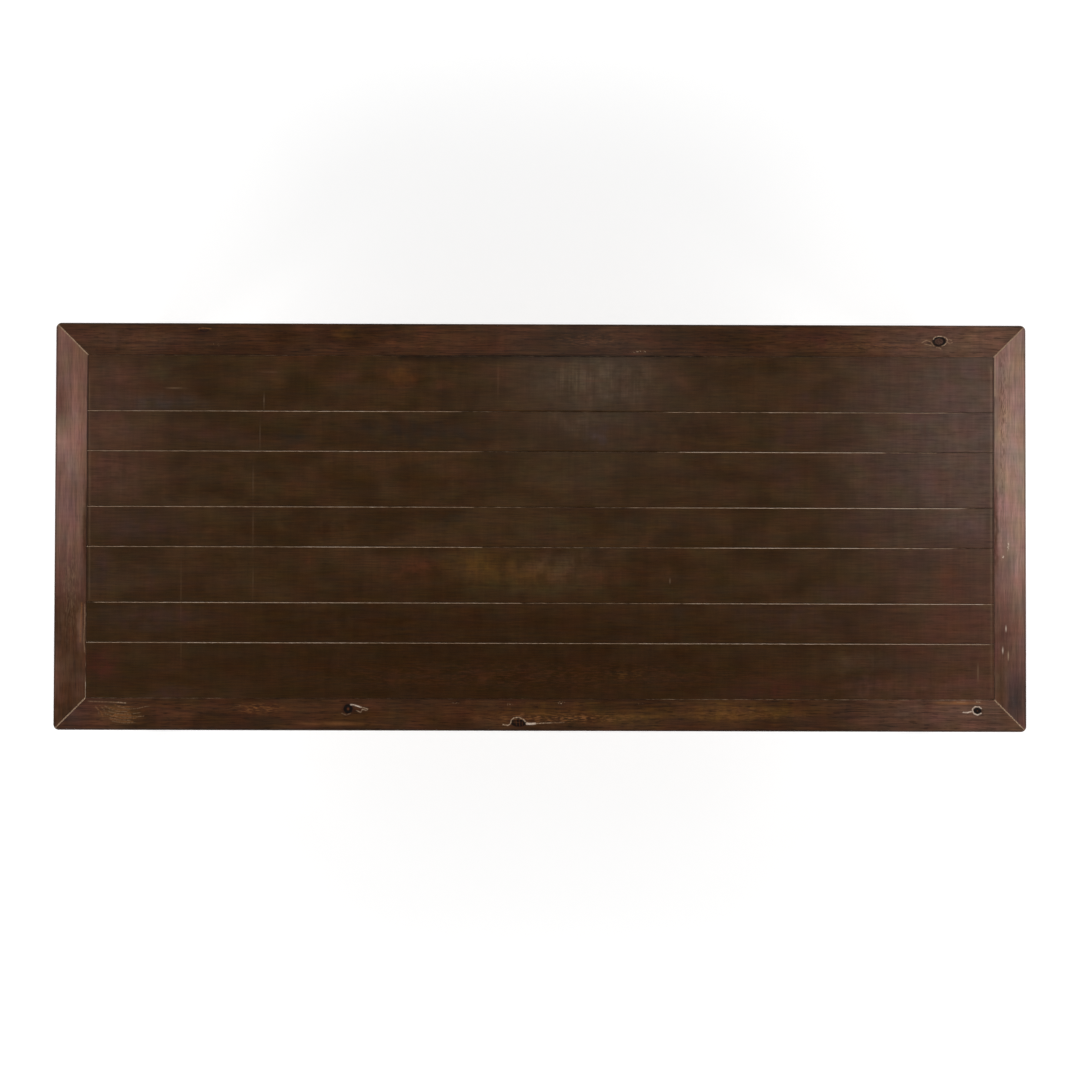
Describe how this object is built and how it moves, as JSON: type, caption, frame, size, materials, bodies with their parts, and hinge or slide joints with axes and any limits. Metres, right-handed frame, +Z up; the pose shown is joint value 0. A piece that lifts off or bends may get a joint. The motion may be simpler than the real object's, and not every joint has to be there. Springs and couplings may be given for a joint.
{
  "type": "farmhouse dining table",
  "caption": "Long dining table with a mitred frame round lengthwise planks, beaded aprons and turned legs on glides.",
  "frame": {"origin": "on the floor under the middle of the top", "axes": "+X along the table to its right end, +Y to its back, +Z up"},
  "size_m": [2.424, 1.016, 0.762],
  "materials": {
    "top_wood": "dark espresso stain worn to light wood on the edges, satin lacquer",
    "base_wood": "dark espresso stain, satin lacquer",
    "inner_wood": "planed bare pine",
    "zinc_steel": "zinc plate",
    "black_nylon": "moulded"
  },
  "bodies": {
    "root": {"back_apron": "base_wood", "back_cleat": "inner_wood", "back_frame_board": "top_wood", "back_left_corner_block": "inner_wood", "back_left_foot_glide": "black_nylon", "back_left_leg": "base_wood", "back_right_corner_block": "inner_wood", "back_right_foot_glide": "black_nylon", "back_right_leg": "base_wood", "batten_1": "inner_wood", "batten_2": "inner_wood", "batten_3": "inner_wood", "batten_4": "inner_wood", "batten_5": "inner_wood", "batten_screws": "zinc_steel", "cleat_apron_screws": "zinc_steel", "cleat_board_screws": "zinc_steel", "corner_block_screws": "zinc_steel", "field_board_1": "top_wood", "field_board_2": "top_wood", "field_board_3": "top_wood", "field_board_4": "top_wood", "field_board_5": "top_wood", "field_board_6": "top_wood", "field_board_7": "top_wood", "front_apron": "base_wood", "front_cleat": "inner_wood", "front_frame_board": "top_wood", "front_left_corner_block": "inner_wood", "front_left_foot_glide": "black_nylon", "front_left_leg": "base_wood", "front_right_corner_block": "inner_wood", "front_right_foot_glide": "black_nylon", "front_right_leg": "base_wood", "glide_screws": "zinc_steel", "hanger_bolts": "zinc_steel", "hanger_nuts": "zinc_steel", "hanger_washers": "zinc_steel", "left_apron": "base_wood", "left_cleat": "inner_wood", "left_cross_rail": "inner_wood", "left_frame_board": "top_wood", "mitre_tenons": "inner_wood", "rail_screws": "zinc_steel", "right_apron": "base_wood", "right_cleat": "inner_wood", "right_cross_rail": "inner_wood", "right_frame_board": "top_wood"}
  },
  "joints": []
}
